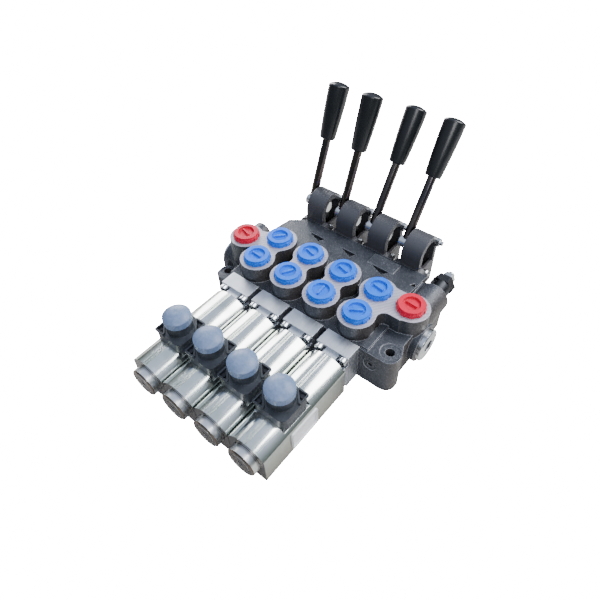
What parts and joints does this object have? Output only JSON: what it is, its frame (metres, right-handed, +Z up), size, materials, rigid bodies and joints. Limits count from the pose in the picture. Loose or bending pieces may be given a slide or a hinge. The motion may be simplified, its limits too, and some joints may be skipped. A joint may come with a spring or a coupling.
{
  "type": "sectional control valve",
  "caption": "Bank hydraulic directional control valve: cast body with plugged ports, electric solenoids in front, hand levers behind, and a relief valve.",
  "frame": {"origin": "on the flat mounting underside of the casting, in the middle of the row of spools and half-way between the two rows of work ports", "axes": "+X along the row of spools towards the inlet, +Y along the spools towards the hand levers, +Z up out of the work ports"},
  "size_m": [0.2374, 0.3411, 0.1759],
  "materials": {
    "cast_iron": "cast skin, port lands milled bright",
    "blue_plastic": "moulded",
    "red_plastic": "moulded",
    "blackened_steel": "black oxide",
    "zinc_fastener": "bright zinc plate",
    "zinc_block": "bright zinc plate",
    "zinc_housing": "mirror-like zinc plate",
    "winding": "enamelled copper wire",
    "bare_steel": "ground",
    "cap_steel": "turned, plated",
    "connector_plastic": "glass-filled nylon",
    "dust_cap_plastic": "soft moulded",
    "bracket_coat": "satin black coat",
    "rod_chrome": "polished",
    "knob_plastic": "moulded",
    "seal_rubber": "moulded"
  },
  "bodies": {
    "valve": {"valve_body": "cast_iron", "work_port_plugs": "blue_plastic", "line_port_plugs": "red_plastic", "gallery_plugs": "zinc_fastener", "relief_cartridge": "blackened_steel", "relief_locknut": "zinc_fastener", "block_screws": "zinc_fastener", "coil_windings": "winding", "core_tubes": "bare_steel", "end_caps": "cap_steel", "connector_screws": "blackened_steel", "centring_springs": "bare_steel", "bracket_screws": "zinc_fastener", "locking_screws": "zinc_fastener", "spool_seals": "seal_rubber", "solenoid_block_1": "zinc_block", "solenoid_housing_1": "zinc_housing", "connector_1": "connector_plastic", "dust_cap_1": "dust_cap_plastic", "lever_bracket_1": "bracket_coat", "solenoid_block_2": "zinc_block", "solenoid_housing_2": "zinc_housing", "connector_2": "connector_plastic", "dust_cap_2": "dust_cap_plastic", "lever_bracket_2": "bracket_coat", "solenoid_block_3": "zinc_block", "solenoid_housing_3": "zinc_housing", "connector_3": "connector_plastic", "dust_cap_3": "dust_cap_plastic", "lever_bracket_3": "bracket_coat", "solenoid_block_4": "zinc_block", "solenoid_housing_4": "zinc_housing", "connector_4": "connector_plastic", "dust_cap_4": "dust_cap_plastic", "lever_bracket_4": "bracket_coat"},
    "spool_1_moving": {"spool_1": "bare_steel", "plunger_1": "bare_steel"},
    "lever_1_moving": {"lever_shaft_1": "zinc_fastener", "lever_arm_1": "blackened_steel", "lever_rod_1": "rod_chrome", "lever_knob_1": "knob_plastic"},
    "spool_2_moving": {"spool_2": "bare_steel", "plunger_2": "bare_steel"},
    "lever_2_moving": {"lever_shaft_2": "zinc_fastener", "lever_arm_2": "blackened_steel", "lever_rod_2": "rod_chrome", "lever_knob_2": "knob_plastic"},
    "spool_3_moving": {"spool_3": "bare_steel", "plunger_3": "bare_steel"},
    "lever_3_moving": {"lever_shaft_3": "zinc_fastener", "lever_arm_3": "blackened_steel", "lever_rod_3": "rod_chrome", "lever_knob_3": "knob_plastic"},
    "spool_4_moving": {"spool_4": "bare_steel", "plunger_4": "bare_steel"},
    "lever_4_moving": {"lever_shaft_4": "zinc_fastener", "lever_arm_4": "blackened_steel", "lever_rod_4": "rod_chrome", "lever_knob_4": "knob_plastic"},
    "relief_screw_moving": {"relief_adjuster": "zinc_fastener"}
  },
  "joints": [
    {"name": "spool_1_slide", "type": "slide", "parent": "valve", "child": "spool_1_moving", "axis": [0, 1, 0], "range_m": [-0.006, 0.006], "stiffness_N_per_m": 6000},
    {"name": "lever_1_pivot", "type": "hinge", "parent": "valve", "child": "lever_1_moving", "pos_m": [-0.06, 0.093, 0.058], "axis": [1, 0, 0], "range_deg": [-9.83, 9.83]},
    {"name": "spool_2_slide", "type": "slide", "parent": "valve", "child": "spool_2_moving", "axis": [0, 1, 0], "range_m": [-0.006, 0.006], "stiffness_N_per_m": 6000},
    {"name": "lever_2_pivot", "type": "hinge", "parent": "valve", "child": "lever_2_moving", "pos_m": [-0.02, 0.093, 0.058], "axis": [1, 0, 0], "range_deg": [-9.83, 9.83]},
    {"name": "spool_3_slide", "type": "slide", "parent": "valve", "child": "spool_3_moving", "axis": [0, 1, 0], "range_m": [-0.006, 0.006], "stiffness_N_per_m": 6000},
    {"name": "lever_3_pivot", "type": "hinge", "parent": "valve", "child": "lever_3_moving", "pos_m": [0.02, 0.093, 0.058], "axis": [1, 0, 0], "range_deg": [-9.83, 9.83]},
    {"name": "spool_4_slide", "type": "slide", "parent": "valve", "child": "spool_4_moving", "axis": [0, 1, 0], "range_m": [-0.006, 0.006], "stiffness_N_per_m": 6000},
    {"name": "lever_4_pivot", "type": "hinge", "parent": "valve", "child": "lever_4_moving", "pos_m": [0.06, 0.093, 0.058], "axis": [1, 0, 0], "range_deg": [-9.83, 9.83]},
    {"name": "relief_screw_turn", "type": "hinge", "parent": "valve", "child": "relief_screw_moving", "pos_m": [0.0955, 0.095, 0.036], "axis": [0, 1, 0], "range_deg": [-180, 180]}
  ],
  "couplings": [
    {"joint": "lever_1_pivot", "follows": "spool_1_slide", "rad_per_m": 28.571},
    {"joint": "lever_2_pivot", "follows": "spool_2_slide", "rad_per_m": 28.571},
    {"joint": "lever_3_pivot", "follows": "spool_3_slide", "rad_per_m": 28.571},
    {"joint": "lever_4_pivot", "follows": "spool_4_slide", "rad_per_m": 28.571}
  ]
}
